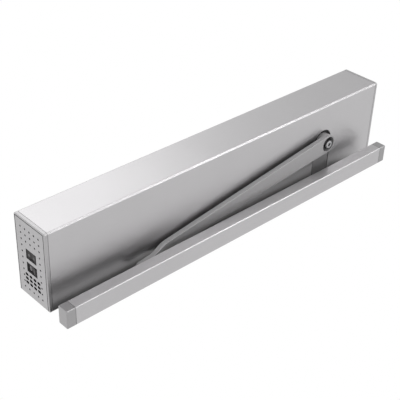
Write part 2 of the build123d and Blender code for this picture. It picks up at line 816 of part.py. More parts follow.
def spring_carriage():
    """Fork that holds the roller, with the rod that carries the spring plate."""
    half = cam_t / 2 + fork_slack
    body = block(carriage_x0, roller_x, spindle_y - fork_width / 2, spindle_y + fork_width / 2,
                 cam_mid - half - fork_cheek, cam_mid + half + fork_cheek)
    body = fillet(edges_along(body, Axis.Z).sort_by(Axis.X)[:2], 3)
    body += post(roller_x, spindle_y, roller_pin_r + 1.5,
                 cam_mid - half - fork_cheek, cam_mid + half + fork_cheek)
    slot_x = roller_x - roller_r - fork_slack
    body -= block(slot_x, roller_x + length, spindle_y - depth, spindle_y + depth,
                  cam_mid - half, cam_mid + half)
    body -= post(roller_x, spindle_y, roller_pin_r + seated, -height, height)
    body += bar_x(spindle_y, cam_mid, rod_r, spring_x1 + spring_plate_t, carriage_x0 + 1)
    body += bar_x(spindle_y, cam_mid, rod_end_r, spring_x1 - rod_end_out, spring_x1 + spring_plate_t + 1)
    return body


def roller_pin():
    half = cam_t / 2 + fork_slack + fork_cheek
    return post(roller_x, spindle_y, roller_pin_r, cam_mid - half, cam_mid + half)


def cam_roller():
    roller = post(roller_x, spindle_y, roller_r, cam_low, cam_high)
    roller = chamfer(roller.edges().filter_by(GeomType.CIRCLE), 0.5)
    return roller - post(roller_x, spindle_y, roller_pin_r + running, -height, height)


def spring_plate():
    """Plate at the rod's end, with a spigot that centres the spring."""
    plate = bar_x(spindle_y, cam_mid, tube_inner_r - 0.4, spring_x1, spring_x1 + spring_plate_t)
    plate += bar_x(spindle_y, cam_mid, spigot_r, spring_x1 - spigot_length, spring_x1)
    return plate - bar_x(spindle_y, cam_mid, rod_end_r + seated, -length, length)


def closing_spring():
    """Compression spring between the spring plate and the tension seat."""
    run = spring_length - 2 * spring_wire_r - 2 * face_gap
    helix = Helix(run / spring_turns, run, spring_mean_r)
    section = Plane(origin=helix @ 0, z_dir=helix % 0) * Circle(spring_wire_r)
    coil = sweep(section, path=helix, is_frenet=True)
    return Pos(spring_x0 + spring_wire_r + face_gap, spindle_y, cam_mid) * Rot(0, 90, 0) * coil


def spring_tube():
    """Tube over the spring, closed by the threaded end for the tension screw."""
    tube = bar_x(spindle_y, cam_mid, tube_inner_r + tube_wall, tube_x0, tube_x1)
    tube -= bar_x(spindle_y, cam_mid, tube_inner_r, tube_x0 + tube_end, tube_x1 + 1)
    tube = chamfer(tube.edges().filter_by(GeomType.CIRCLE).sort_by(Axis.X)[:1], 1.0)
    return tube - bar_x(spindle_y, cam_mid, tension_screw_r + seated, tube_x0 - 1, tube_x0 + tube_end + 1)


def tension_screw():
    """Hexagon-headed screw that sets the spring's preload, with its lock nut."""
    nose = spring_x0 - spring_plate_t - face_gap
    screw = bar_x(spindle_y, cam_mid, tension_screw_r, tube_x0 - 12, nose)
    for x, thick in ((tube_x0 - 6.3, 6), (tube_x0 - 14, 7)):
        screw += Pos(x, spindle_y, cam_mid) * Rot(0, 90, 0) * extrude(RegularPolygon(9, 6), thick)
    return screw


def tension_seat():
    """Loose seat between the tension screw and the spring."""
    seat = bar_x(spindle_y, cam_mid, tube_inner_r - 0.4, spring_x0 - spring_plate_t, spring_x0)
    return seat + bar_x(spindle_y, cam_mid, spigot_r, spring_x0, spring_x0 + spigot_length)


def guide_bush():
    """Plain bush that guides the carriage's rod through the case wall."""
    x0 = case_x0 - guide_bush_lead
    body = bar_x(spindle_y, cam_mid, rod_r + bush_wall, x0, x0 + guide_bush_length)
    body += bar_x(spindle_y, cam_mid, rod_r + bush_wall + 2, case_x0 + case_wall, x0 + guide_bush_length)
    return body - bar_x(spindle_y, cam_mid, rod_r + running, x0 - 1, x0 + guide_bush_length + 1)


# Motor

def motor_screw_places():
    """Corners of the motor flange, Y and Z."""
    return [(motor_y + a * motor_screw_at, motor_z + b * motor_screw_at) for a in (-1, 1) for b in (-1, 1)]


def flange_x():
    """The motor flange's face on the gear case."""
    return case_x0 - face_gap


def motor_body():
    """Motor can with its square front flange."""
    x1 = flange_x()
    x0 = x1 - motor_flange_t
    plane = Plane(origin=(x0, motor_y, motor_z), x_dir=(0, 1, 0), z_dir=(1, 0, 0))
    size = 2 * motor_flange_half
    body = extrude(plane * RectangleRounded(size, size, motor_flange_r), motor_flange_t)
    can = bar_x(motor_y, motor_z, motor_r, x0 - motor_can, x0)
    body += fillet(can.edges().filter_by(GeomType.CIRCLE).sort_by(Axis.X)[:1], 1.5)
    for y, z in motor_screw_places():
        body -= bar_x(y, z, motor_screw_r + 0.2, x0 - 1, x1 + 1)
    return body


def motor_screws():
    screws = []
    for y, z in motor_screw_places():
        x0 = flange_x() - motor_flange_t
        head = bar_x(y, z, 1.6 * motor_screw_r, x0 - 2 * motor_screw_r, x0)
        screws.append(head + bar_x(y, z, motor_screw_r, x0, case_x0 + case_wall - 0.5))
    return screws


def motor_end_bell():
    """Rear bell with two brush caps and vents around its rim."""
    x1 = flange_x() - motor_flange_t - motor_can
    x0 = x1 - motor_bell
    bell = bar_x(motor_y, motor_z, motor_bell_r, x0, x1)
    bell = fillet(bell.edges().filter_by(GeomType.CIRCLE).sort_by(Axis.X)[:1], 2.5)
    middle = (x0 + x1) / 2
    for side in (-1, 1):
        cap = Pos(middle, motor_y, motor_z + side * motor_bell_r) * Cylinder(4, 3)
        bell += cap
    for turn in (30, 60, 120, 150, 210, 240, 300, 330):
        y, z = polar(motor_bell_r, radians(turn))
        bell -= bar_x(motor_y + y, motor_z + z, 1.8, x0 + 4, x1 - 3)
    return bell


def encoder_cap():
    x1 = flange_x() - motor_flange_t - motor_can - motor_bell
    cap = bar_x(motor_y, motor_z, encoder_r, x1 - encoder_length, x1)
    return fillet(cap.edges().filter_by(GeomType.CIRCLE).sort_by(Axis.X)[:1], 2)


def motor_gearhead():
    """Angle gearhead: a neck through the case wall and a housing under the motor pinion."""
    top = reduction_bottom - gearhead_below_gear
    low = case_inner_floor + face_gap
    plan = Pos(motor_x, motor_y) * RectangleRounded(2 * gearhead_half_x, 2 * gearhead_half_y, 6)
    head = Pos(0, 0, low) * extrude(plan, top - 3 - low)
    head = chamfer(head.faces().sort_by(Axis.Z)[-1].edges(), 1.5)
    head += post(motor_x, motor_y, pinion_collar_r + 4, top - 4, top)
    head += bar_x(motor_y, motor_z, motor_pilot_r, flange_x() + face_gap, motor_x - gearhead_half_x + 1)
    return head - post(motor_x, motor_y, motor_shaft_r + running, top - motor_shaft_in - 1, top + 1)


# Arm

def taper_outline(r0, r1, run):
    """Two round ends joined by their common tangents, along local X."""
    lean = (r0 - r1) / run
    rise = sqrt(1 - lean**2)
    points = [(r0 * lean, -r0 * rise), (run + r1 * lean, -r1 * rise),
              (run + r1 * lean, r1 * rise), (r0 * lean, r0 * rise)]
    return Polygon(*points, align=None) + Circle(r0) + Pos(run, 0) * Circle(r1)


def arm():
    """Tapered flat bar, cranked down to the rail, with a hub for the spindle's square."""
    level = arm_face - arm_drop
    start = arm_length - arm_drop_before
    end = start + arm_drop_run
    far = arm_length + 2 * arm_end_r
    back = -2 * arm_head_r
    upper = [Line((back, arm_top), (start, arm_top)),
             Spline((start, arm_top), (end, arm_top - arm_drop), tangents=((1, 0), (1, 0))),
             Line((end, arm_top - arm_drop), (far, arm_top - arm_drop)),
             Line((far, arm_top - arm_drop), (far, level))]
    lower = [Line((far, level), (end, level)),
             Spline((end, level), (start, arm_face), tangents=((-1, 0), (-1, 0))),
             Line((start, arm_face), (back, arm_face)),
             Line((back, arm_face), (back, arm_top))]
    strip = extrude(Plane.XZ * make_face(upper + lower), 2 * arm_head_r, both=True)
    plan = Pos(0, 0, level - 1) * extrude(taper_outline(arm_head_r, arm_end_r, arm_length), height)
    bar = strip & plan
    rim = [edge for edge in bar.edges() if edge.center().Z < arm_face + 0.01 and edge.length > arm_t + 1
           and (edge.geom_type == GeomType.CIRCLE or abs(edge.center().Y) > 0.9 * arm_end_r)]
    bar = fillet(rim, arm_edge)
    bar += post(0, 0, arm_hub_r, arm_top - 1, -case_half - hub_clearance)
    bar -= post(0, 0, arm_recess_r, arm_face - 1, arm_face + arm_recess)
    square = spindle_square + 2 * seated
    bar -= Pos(0, 0, arm_face) * extrude(RectangleRounded(square, square, 1.5), height)
    bar -= post(arm_length, 0, slide_pin_r + seated, level - 1, height)
    return Pos(spindle_x, spindle_y) * Rot(0, 0, arm_angle) * bar


def arm_washer():
    low = arm_face + arm_recess - arm_washer_t
    ring = post(spindle_x, spindle_y, arm_washer_r, low, low + arm_washer_t)
    return ring - post(spindle_x, spindle_y, arm_screw_r + 0.25, low - 1, low + arm_washer_t + 1)


def arm_screw():
    """Socket screw that clamps the arm on the spindle."""
    seat = arm_face + arm_recess - arm_washer_t
    head = post(spindle_x, spindle_y, arm_screw_head_r, seat - arm_screw_head, seat)
    head = chamfer(head.edges().filter_by(GeomType.CIRCLE).sort_by(Axis.Z)[:1], 0.8)
    socket = Pos(spindle_x, spindle_y, seat - arm_screw_head - 1) * extrude(
        RegularPolygon(hex_across / sqrt(3), 6), 5)
    return head + post(spindle_x, spindle_y, arm_screw_r, seat, seat + arm_screw_reach) - socket


def slide_pin():
    """Shouldered pin riveted to the arm's end, reaching into the slide block."""
    top = arm_top - arm_drop
    pin = post(pin_x, pin_y, slide_pin_r, rail_low + rail_wall + block_gap + 1, top)
    head = post(pin_x, pin_y, slide_pin_head_r, top, top + slide_pin_head)
    return pin + chamfer(head.edges().filter_by(GeomType.CIRCLE).sort_by(Axis.Z)[-1:], 0.6)


# Slide rail

def slide_block():
    """Sliding block with a raised neck between the rail's lips."""
    low = rail_low + rail_wall + block_gap
    high = rail_top - rail_wall - block_gap
    wide = rail_depth - 2 * rail_wall - 2 * block_gap
    body = Pos(pin_x, pin_y, low) * extrude(RectangleRounded(block_length, wide, 4), high - low)
    neck = Pos(pin_x, pin_y, high - 1) * extrude(
        SlotOverall(block_length * 0.7, rail_slot - 2 * block_gap), rail_top + face_gap - high + 1)
    body += neck
    for side in (-1, 1):
        body -= block(pin_x + side * 6, pin_x + side * 8, -depth, depth, low - 1, low + 1.2)
    return body - post(pin_x, pin_y, slide_pin_r + running, -3 * height, height)


def rail_section():
    """Rail profile in local Y and Z: a C with its slot up."""
    outer = RectangleRounded(rail_depth, rail_height, rail_edge_r)
    inner = Rectangle(rail_depth - 2 * rail_wall, rail_height - 2 * rail_wall)
    slot = Pos(0, rail_height / 2) * Rectangle(rail_slot, rail_height / 2)
    return outer - inner - slot


def along_rail(sketch, x0, x1):
    """Extrudes a section of the rail between two places."""
    plane = Plane(origin=(x0, rail_y, (rail_top + rail_low) / 2), x_dir=(0, 1, 0), z_dir=(1, 0, 0))
    return extrude(plane * sketch, x1 - x0)


def slide_rail():
    return along_rail(rail_section(), rail_x0 + rail_cap, rail_x1 - rail_cap)


def rail_ends():
    """Ends of the rail: outer X, and the direction into the rail."""
    return [(rail_x0, 1), (rail_x1, -1)]


def rail_fixing_x(end, inward):
    return end + inward * (rail_cap + rail_cap_wall) / 2


def rail_end_blocks():
    """Feet in the rail's ends, each with a tongue in the channel and a hole to the door leaf."""
    feet = []
    half_y = rail_depth / 2 - rail_wall - cap_rim_gap
    half_z = rail_height / 2 - rail_wall - cap_rim_gap
    foot_z = rail_height / 2 - rail_cap_wall - face_gap
    middle = (rail_top + rail_low) / 2
    for end, inward in rail_ends():
        start = end + inward * (rail_cap_wall + face_gap)
        rail_end = end + inward * rail_cap
        foot = block(start, rail_end - inward * face_gap, -rail_depth + rail_cap_wall + face_gap, 0,
                     middle - foot_z, middle + foot_z)
        tongue = block(rail_end - inward, rail_end + inward * rail_tongue, rail_y - half_y, rail_y + half_y,
                       middle - half_z, middle + half_z)
        foot = foot + tongue
        hole_x = rail_fixing_x(end, inward)
        foot -= bar_y(hole_x, middle, rail_fixing_r, -depth, 1)
        foot -= bar_y(hole_x, middle, 2 * rail_fixing_r - 0.5, -depth, -rail_depth * 0.4)
        feet.append(foot)
    return feet


def rail_end_cap(end, inward):
    """Cap over a rail end, open to the door leaf and to the rail."""
    near, far = sorted((end, end + inward * (rail_cap - seam)))
    shell = along_rail(RectangleRounded(rail_depth, rail_height, rail_edge_r), near, far)
    outer_face = shell.faces().sort_by(Axis.X)[0 if inward > 0 else -1]
    shell = fillet(outer_face.edges(), rail_edge_r * 0.8)
    middle = (rail_top + rail_low) / 2
    half_z = rail_height / 2 - rail_cap_wall
    hollow = block(end + inward * rail_cap_wall, end + inward * (rail_cap + 1),
                   -rail_depth + rail_cap_wall, 1, middle - half_z, middle + half_z)
    return shell - hollow


def rail_end_cap_left():
    return rail_end_cap(*rail_ends()[0])


def rail_end_cap_right():
    return rail_end_cap(*rail_ends()[1])


def rail_buffers():
    """Rubber stops at the tongues."""
    stops = []
    half_y = rail_depth / 2 - rail_wall - 1.5
    half_z = rail_height / 2 - rail_wall - 0.6
    middle = (rail_top + rail_low) / 2
    for end, inward in rail_ends():
        start = end + inward * (rail_cap + rail_tongue + seated)
        stop = block(start, start + inward * buffer_length, rail_y - half_y, rail_y + half_y,
                     middle - half_z, middle + half_z)
        stops.append(fillet(edges_along(stop, Axis.Z), 2))
    return stops


# Switches

def switch_face_x():
    return -half_length + switch_recess


def rocker_pivot_x():
    return switch_face_x() + rocker_sink + rocker_above


def switch_housing(place):
    """Switch body with a bezel in the window and a round pocket for the rocker."""
    y, z = place
    x0 = switch_face_x()
    half_y = window_y / 2 - switch_gap
    half_z = window_z / 2 - switch_gap
    body = block(x0, x0 + switch_body, y - half_y, y + half_y, z - half_z, z + half_z)
    pivot = rocker_pivot_x()
    pocket_y = rocker_y / 2 + rocker_gap
    body -= bar_y(pivot, z, rocker_r + rocker_gap, y - pocket_y, y + pocket_y)
    pocket_z = sqrt((rocker_r + rocker_gap) ** 2 - (pivot - x0) ** 2)
    body -= block(x0 - 1, pivot, y - pocket_y, y + pocket_y, z - pocket_z, z + pocket_z)
    body -= bar_y(pivot, z, trunnion_r + running, y - trunnion_reach - 0.2, y + trunnion_reach + 0.2)
    for side in (-1, 0, 1):
        tab_z = z + side * 7
        body += block(x0 + switch_body, x0 + switch_body + 6, y - 2.4, y + 2.4, tab_z - 0.4, tab_z + 0.4)
    return body


def rocker(place, tilt):
    """Rocker with a shallow V face, round ends about its pivot and two trunnions."""
    y, z = place
    pivot = rocker_pivot_x()
    drum = bar_y(0, 0, rocker_r, -rocker_y / 2, rocker_y / 2)
    rise = rocker_r * tan(radians(rocker_tilt))
    top = [(-rocker_above, 0), (-rocker_above - rise, rocker_r), (rocker_below, rocker_r),
           (rocker_below, -rocker_r), (-rocker_above - rise, -rocker_r)]
    side = Plane(origin=(0, -rocker_y, 0), x_dir=(1, 0, 0), z_dir=(0, 1, 0))
    outline = [(x, -height_z) for x, height_z in top]
    wedge = extrude(side * Polygon(*outline, align=None), 2 * rocker_y)
    body = drum & wedge
    body += bar_y(0, 0, trunnion_r, -trunnion_reach, trunnion_reach)
    return Pos(pivot, y, z) * Rot(0, tilt, 0) * body


def switch_bracket():
    """Bent sheet behind the left cap that carries both switches."""
    x0 = -cap_inner_x + bracket_from_cap
    foot_y = -plate_t - face_gap
    reach = window_places()[0][0] - window_y / 2 - bracket_past_window
    sheet = block(x0, x0 + bracket_t, reach, foot_y, -bracket_half_z, bracket_half_z)
    foot = block(x0, x0 + bracket_foot, foot_y - bracket_t, foot_y, -bracket_foot_half, bracket_foot_half)
    half_y = window_y / 2 - switch_gap + running
    half_z = window_z / 2 - switch_gap + running
    for y, z in window_places():
        sheet -= block(x0 - 1, x0 + bracket_t + 1, y - half_y, y + half_y, z - half_z, z + half_z)
    foot -= bar_y(x0 + bracket_foot - 5, 0, inner_screw_r + 0.2, foot_y - 3, foot_y + 1)
    return sheet + foot


# Electronics

def control_tray():
    """Open plastic tray on the wall plate."""
    x0, x1 = tray_x
    base = -plate_t - face_gap
    tray = block(x0, x1, base - tray_reach, base, -tray_half_z, tray_half_z)
    tray = fillet(edges_along(tray, Axis.Y), 3)
    tray -= block(x0 + tray_wall, x1 - tray_wall, -depth, base - tray_wall,
                  -tray_half_z + tray_wall, tray_half_z - tray_wall)
    for x in (x0 + tray_post_in, x1 - tray_post_in):
        for z in (-tray_half_z + tray_post_in, tray_half_z - tray_post_in):
            tray += bar_y(x, z, tray_post_r, base - board_lift, base - tray_wall)
    for x in (x0 + tray_screw_in, x1 - tray_screw_in):
        tray -= bar_y(x, 0, inner_screw_r + 0.2, base - tray_wall - 1, base + 1)
    ends = 2 * tray_screw_in
    return tray - block(x0 + ends, x1 - ends, base - tray_reach - 1, base - board_lift - 4, -depth, 0)


def board_y():
    """Front and back faces of the control board."""
    back = -plate_t - face_gap - board_lift
    return back - board_t, back


def control_board():
    x0, x1 = tray_x
    front_y, back_y = board_y()
    board = block(x0 + tray_wall + 0.5, x1 - tray_wall - 0.5, front_y, back_y,
                  -tray_half_z + tray_wall + 0.5, tray_half_z - tray_wall - 0.5)
    return fillet(edges_along(board, Axis.Y), 2)


def board_part(x, z, size):
    """Component standing on the front of the control board. Its size is along X, along Z and outwards."""
    wide, high, tall = size
    front_y = board_y()[0]
    return block(x - wide / 2, x + wide / 2, front_y - tall, front_y, z - high / 2, z + high / 2)


def terminal_blocks():
    """Plug-in terminals along the board's lower edge."""
    rows = []
    low = board_y()[0] - plug_size[2]
    for index in range(4):
        x = tray_x[0] + (index + 1) * plug_pitch
        body = board_part(x, plug_z, plug_size)
        first_pole = x - (plug_poles - 1) / 2 * plug_pole
        body -= [bar_y(first_pole + pole * plug_pole, plug_z, 0.32 * plug_pole, low - 1, low + 6)
                 for pole in range(plug_poles)]
        rows.append(body)
    return rows


def capacitors():
    cans = []
    for index in range(3):
        x = tray_x[0] + 22 + index * can_pitch
        can = bar_y(x, front_z, can_r, board_y()[0] - can_tall, board_y()[0])
        cans.append(fillet(can.edges().filter_by(GeomType.CIRCLE).sort_by(Axis.Y)[:1], can_r / 7))
    return cans


def digit_display():
    """Two-digit display module with a sunk window."""
    x = tray_x[1] - display_in
    low = board_y()[0] - display_size[2]
    half_x, half_z = display_sunk[0] / 2, display_sunk[1] / 2
    return board_part(x, front_z, display_size) - block(x - half_x, x + half_x, low - 1, low + 1,
                                                        front_z - half_z, front_z + half_z)


def heat_sink():
    """Finned aluminium block over the output transistors."""
    x = tray_x[1] - sink_in
    body = board_part(x, front_z, (sink_side, sink_side, sink_side))
    for index in range(4):
        fin_x = x + (index - 1.5) * sink_fin
        body -= block(fin_x - 0.31 * sink_fin, fin_x + 0.31 * sink_fin, board_y()[0] - sink_side - 1,
                      board_y()[0] - sink_side / 5, -height, height)
    return body


def power_supply_base():
    """Bent chassis of the power supply: a back and two ends."""
    x0, x1 = supply_x
    back = -plate_t - face_gap
    base = block(x0, x1, back - supply_reach, back, -supply_half_z, supply_half_z)
    base -= block(x0 + sheet_t, x1 - sheet_t, -depth, back - sheet_t, -height, height)
    for side in (-1, 1):
        base -= bar_y((x0 + x1) / 2, side * supply_screw_z, inner_screw_r + 0.2,
                      back - 2 * sheet_t, back + 1)
    return base


def power_supply_cover():
    """Slotted cover of the power supply, over its front, top and bottom."""
    x0, x1 = supply_x
    back = -plate_t - face_gap - sheet_t - face_gap
    low = -plate_t - face_gap - supply_reach - sheet_t - face_gap
    z1 = supply_half_z + sheet_t + face_gap
    skin = block(x0, x1, low, back, -z1, z1)
    skin -= block(x0 - 1, x1 + 1, low + sheet_t, 0, -z1 + sheet_t, z1 - sheet_t)
    slot = Rot(0, 0, 90) * SlotOverall(supply_slot, supply_slot_w)
    middle = Pos((x0 + x1) / 2, (low + back) / 2)
    pattern = [middle * place * slot for place in GridLocations(supply_slot_pitch, 0, 5, 1)]
    return skin - extrude(Pos(0, 0, -height) * (Sketch() + pattern), 2 * height)


def power_transformer():
    """Wound core between the chassis ends."""
    back = -plate_t - face_gap - sheet_t - face_gap
    middle = sum(supply_x) / 2
    wide, deep, high = core_size
    core = block(middle - wide / 2, middle + wide / 2, back - deep, back, -high / 2, high / 2)
    core = chamfer(edges_along(core, Axis.Y), wide / 21)
    past = back - deep - winding_past_core
    wide, deep, high = winding_size
    winding = block(middle - wide / 2, middle + wide / 2, past, past + deep, -high / 2, high / 2)
    return core + fillet(edges_along(winding, Axis.Y), high / 5)


def mains_terminal():
    """Three-pole mains terminal on a foot on the wall plate."""
    base = -plate_t - face_gap
    middle_z = sum(terminal_z) / 2
    body = block(terminal_x - terminal_half, terminal_x + terminal_half,
                 base - terminal_reach, base, *terminal_z)
    body = chamfer(body.faces().sort_by(Axis.Y)[0].edges(), 0.8)
    for pole in (-1, 0, 1):
        x = terminal_x + pole * terminal_pole
        body -= bar_y(x, middle_z, 0.29 * terminal_pole, base - terminal_reach - 1, base - 8)
        body -= post(x, base - 12, 0.24 * terminal_pole, terminal_z[0] - 1, terminal_z[0] + 4)
    return body


def cable_clamp():
    """Saddle that holds the mains cable behind the entry."""
    base = -plate_t - face_gap
    half = clamp_screw_x + 3.5
    saddle = block(terminal_x - half, terminal_x + half, base - 4, base, *clamp_z)
    arch = post(terminal_x, base - 4, clamp_arch_r, *clamp_z)
    saddle += arch & block(terminal_x - half, terminal_x + half, base - 5 - clamp_arch_r, base, *clamp_z)
    saddle -= post(terminal_x, base - 3, clamp_cable_r, clamp_z[0] - 1, clamp_z[1] + 1)
    for side in (-1, 1):
        saddle -= bar_y(terminal_x + side * clamp_screw_x, sum(clamp_z) / 2, 2, base - 5, base + 1)
    return saddle


def earth_stud():
    """Earth stud with its nut on the wall plate."""
    base = -plate_t - face_gap
    stud = bar_y(earth_x, 0, earth_r, base - earth_out, base)
    nut = Pos(earth_x, base, 0) * Rot(90, 0, 0) * extrude(RegularPolygon(1.84 * earth_r, 6), 1.6 * earth_r)
    return stud + nut


# Fasteners inside the housing

def inner_screw_places():
    """Pan-head screws into the wall plate, X and Z, with the face under each head."""
    base = -plate_t - face_gap
    tray_floor = base - tray_wall
    bracket_x = -cap_inner_x + bracket_from_cap + bracket_foot - 5
    supply_mid = sum(supply_x) / 2
    places = [(bracket_x, 0, base - bracket_t)]
    places += [(x, 0, tray_floor) for x in (tray_x[0] + tray_screw_in, tray_x[1] - tray_screw_in)]
    places += [(supply_mid, side * supply_screw_z, base - sheet_t) for side in (-1, 1)]
    return places


def inner_screws():
    screws = []
    for x, z, seat in inner_screw_places():
        head = bar_y(x, z, 2 * inner_screw_r, seat - 1.4 * inner_screw_r, seat)
        head = fillet(head.edges().filter_by(GeomType.CIRCLE).sort_by(Axis.Y)[:1], 0.8)
        screws.append(head + bar_y(x, z, inner_screw_r, seat, -0.3))
    return screws


pieces = {
    "mounting_plate": mounting_plate(),
    "cover": cover(),
    "notch_insert": notch_insert(),
    "end_cap_left": end_cap_left(),
    "end_cap_right": end_cap_right(),
    "gear_case": gear_case(),
    "gear_case_lid": gear_case_lid(),
    "lid_screws": lid_screws(),
    "case_screws": case_screws(),
    "inner_screws": inner_screws(),
    "spindle_bearings": spindle_bearings(),
    "intermediate_bushes": intermediate_bushes(),
    "spindle": spindle(),
    "spindle_keys": spindle_keys(),
    "spindle_gear": spindle_gear(),
    "cam_disc": cam_disc(),
    "intermediate_shaft": intermediate_shaft(),
    "reduction_gear": reduction_gear(),
    "motor_pinion": motor_pinion(),
    "motor_gearhead": motor_gearhead(),
    "motor_body": motor_body(),
    "motor_end_bell": motor_end_bell(),
    "encoder_cap": encoder_cap(),
    "motor_screws": motor_screws(),
    "spring_carriage": spring_carriage(),
    "roller_pin": roller_pin(),
    "cam_roller": cam_roller(),
    "spring_plate": spring_plate(),
    "closing_spring": closing_spring(),
    "spring_tube": spring_tube(),
    "tension_screw": tension_screw(),
    "tension_seat": tension_seat(),
    "guide_bush": guide_bush(),
    "arm": arm(),
    "arm_washer": arm_washer(),
    "arm_screw": arm_screw(),
    "slide_pin": slide_pin(),
    "slide_block": slide_block(),
    "slide_rail": slide_rail(),
    "rail_end_blocks": rail_end_blocks(),
    "rail_end_cap_left": rail_end_cap_left(),
    "rail_end_cap_right": rail_end_cap_right(),
    "rail_buffers": rail_buffers(),
    "program_switch_body": switch_housing(window_places()[0]),
    "program_switch_rocker": rocker(window_places()[0], 0),
    "mains_switch_body": switch_housing(window_places()[1]),
    "mains_switch_rocker": rocker(window_places()[1], rocker_tilt),
    "switch_bracket": switch_bracket(),
    "control_tray": control_tray(),
    "control_board": control_board(),
    "terminal_blocks": terminal_blocks(),
    "capacitors": capacitors(),
    "digit_display": digit_display(),
    "heat_sink": heat_sink(),
    "power_supply_base": power_supply_base(),
    "power_supply_cover": power_supply_cover(),
    "power_transformer": power_transformer(),
    "mains_terminal": mains_terminal(),
    "cable_clamp": cable_clamp(),
    "earth_stud": earth_stud(),
}

os.makedirs("parts", exist_ok=True)
for name, piece in pieces.items():
    solids = Compound(children=list(piece)) if isinstance(piece, list) else piece
    export_step(solids, f"parts/{name}.step")
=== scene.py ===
import json
import math

import bpy
from mathutils import Matrix, Vector

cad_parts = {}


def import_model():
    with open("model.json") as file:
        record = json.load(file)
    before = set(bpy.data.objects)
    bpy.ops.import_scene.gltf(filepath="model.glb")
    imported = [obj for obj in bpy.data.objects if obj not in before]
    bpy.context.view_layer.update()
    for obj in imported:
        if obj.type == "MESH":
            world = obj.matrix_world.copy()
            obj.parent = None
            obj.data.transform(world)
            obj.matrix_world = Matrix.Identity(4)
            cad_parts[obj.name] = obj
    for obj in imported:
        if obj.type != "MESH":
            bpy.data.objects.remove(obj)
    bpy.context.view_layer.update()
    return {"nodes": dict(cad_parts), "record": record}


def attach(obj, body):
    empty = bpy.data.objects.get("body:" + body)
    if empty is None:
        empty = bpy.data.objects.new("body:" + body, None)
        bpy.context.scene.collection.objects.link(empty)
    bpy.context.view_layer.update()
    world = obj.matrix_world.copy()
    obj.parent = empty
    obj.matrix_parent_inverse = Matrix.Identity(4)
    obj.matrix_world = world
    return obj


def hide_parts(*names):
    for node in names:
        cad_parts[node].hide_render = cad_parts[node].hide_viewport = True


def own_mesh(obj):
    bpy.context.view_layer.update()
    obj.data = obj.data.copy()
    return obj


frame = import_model()

# The photograph shows the operator lying on its back, seen from below, in front and from the left.
CAMERA_AT = Vector((-0.8658, -0.8295, -0.8609))
CAMERA_AZIMUTH = -44.02
CAMERA_ELEVATION = 33.61
CAMERA_ROLL = 2.15
FOCAL_PIXELS = 928.41
IMAGE_PIXELS = 400
SENSOR_MM = 36.0

# The room is white where the camera sees it. In light and reflections it falls to FAR_SIDE towards +X,
# between two values of the direction's X.
ROOM_LIGHT = 1.0
REFLECTED_LIGHT = 1.0
FAR_SIDE = 0.6
FALL_STARTS = 0.35
FALL_ENDS = 0.9

# The lamps aim at the housing's middle. Each has a name, a place, a diameter and a power: a soft key lamp
# above and in front, and three pairs of small ones, each with one below and one in front, for the bright
# lines along the edges.
LAMP_AIM = Vector((0.0, -0.065, 0.0))
LAMPS = (
    ("key", (0.45, -1.33, 1.36), 1.3, 4.0),
    ("edge_low", (1.06, -0.46, -1.39), 0.35, 4.0),
    ("edge_front", (1.06, -1.5, -0.35), 0.35, 4.0),
    ("left_low", (0.45, -0.51, -1.57), 0.35, 2.0),
    ("left_front", (0.45, -1.67, -0.39), 0.35, 2.0),
    ("right_low", (1.42, -0.365, -0.976), 0.25, 0.8),
    ("right_front", (1.42, -1.075, -0.253), 0.25, 0.8),
)

# The floor lies far below. The card below is painted shade: a dark grey sheet, unseen by the camera, that
# fills the gap between the rail and the housing at the wall so that the gap and its reflections look
# shaded.
FLOOR_Z = -1.6
FLOOR_HALF = 25.0
SCRIM_LEFT = -0.341
SCRIM_RIGHT = 0.335
SCRIM_FADES_FROM = 0.255
SCRIM_LOW = -0.0585
SCRIM_HIGH = -0.0355
SCRIM_Y = -0.0003
SCRIM_THIN = 0.15
SCRIM_GRAIN = 60.0
# The greys of the painted shade card.
PAINTED_SHADE_GREYS = (0.09, 0.09, 0.09, 1.0), (0.11, 0.11, 0.11, 1.0)

# Printed marks on the two rockers: the face is a shallow V, and each mark lies on one of its slopes.
# A mark is given by the half sizes of its outer and inner outline along Y and Z.
FACE_TO_PIVOT = 0.0030
FACE_SLOPE = math.radians(8.0)
MARK_OUT = 0.0047
MARK_ACROSS = 0.0010
MARK_THICK = 0.00005
SQUARE = (0.0016, 0.0017), (0.0009, 0.0010)
FIRST_SQUARE_OUT = MARK_OUT + 0.0015
RING = (0.0034, 0.0025), (0.0020, 0.0012)
RING_POINTS = 24
BAR = (0.0022, 0.0003), (0.0015, 0.0001)
PROGRAM_TILT = 0.0
MAINS_TILT = 8.0

# Painted shade on the end caps: all of them inside the housing's box but a thin skin at its ends and its
# sides is painted dark, so that the vent bores and the caps' insides look shaded.
HALF_LENGTH = 0.3425
DEPTH = 0.130
HALF_HEIGHT = 0.035
END_SKIN = 0.00025
SIDE_SKIN = 0.0019
PAINTED_SHADE_BOX = (
    (END_SKIN - HALF_LENGTH, SIDE_SKIN - DEPTH, SIDE_SKIN - HALF_HEIGHT),
    (HALF_LENGTH - END_SKIN, None, HALF_HEIGHT - SIDE_SKIN),
)
PAINTED_SHADE_EDGE = 0.0002
PAINTED_SHADE_COLOUR = (0.02, 0.02, 0.021, 1.0)
PAINTED_SHADE_ROUGH = 0.7

# A texture's values lie mostly in TEXTURE_MIDDLE. The roughness changes by ROUGH_CHANGE with the grain.
TEXTURE_MIDDLE = (0.3, 0.7)
CLOUD_SCALE = 9.0
ROUGH_CHANGE = 0.05

# A grain is the scale of its noise, per metre, and its stretch along each axis.
EVEN = (1, 1, 1)
DRAWN = (40.0, (2, 60, 60))
BLASTED = (900.0, EVEN)
TURNED = (300.0, (1, 1, 8))
CAST = (450.0, EVEN)
MOULDED = (1200.0, EVEN)
PLATED = (70.0, EVEN)
WOVEN = (200.0, EVEN)
LAMINATED = (120.0, (1, 1, 12))
POURED = (4.0, EVEN)

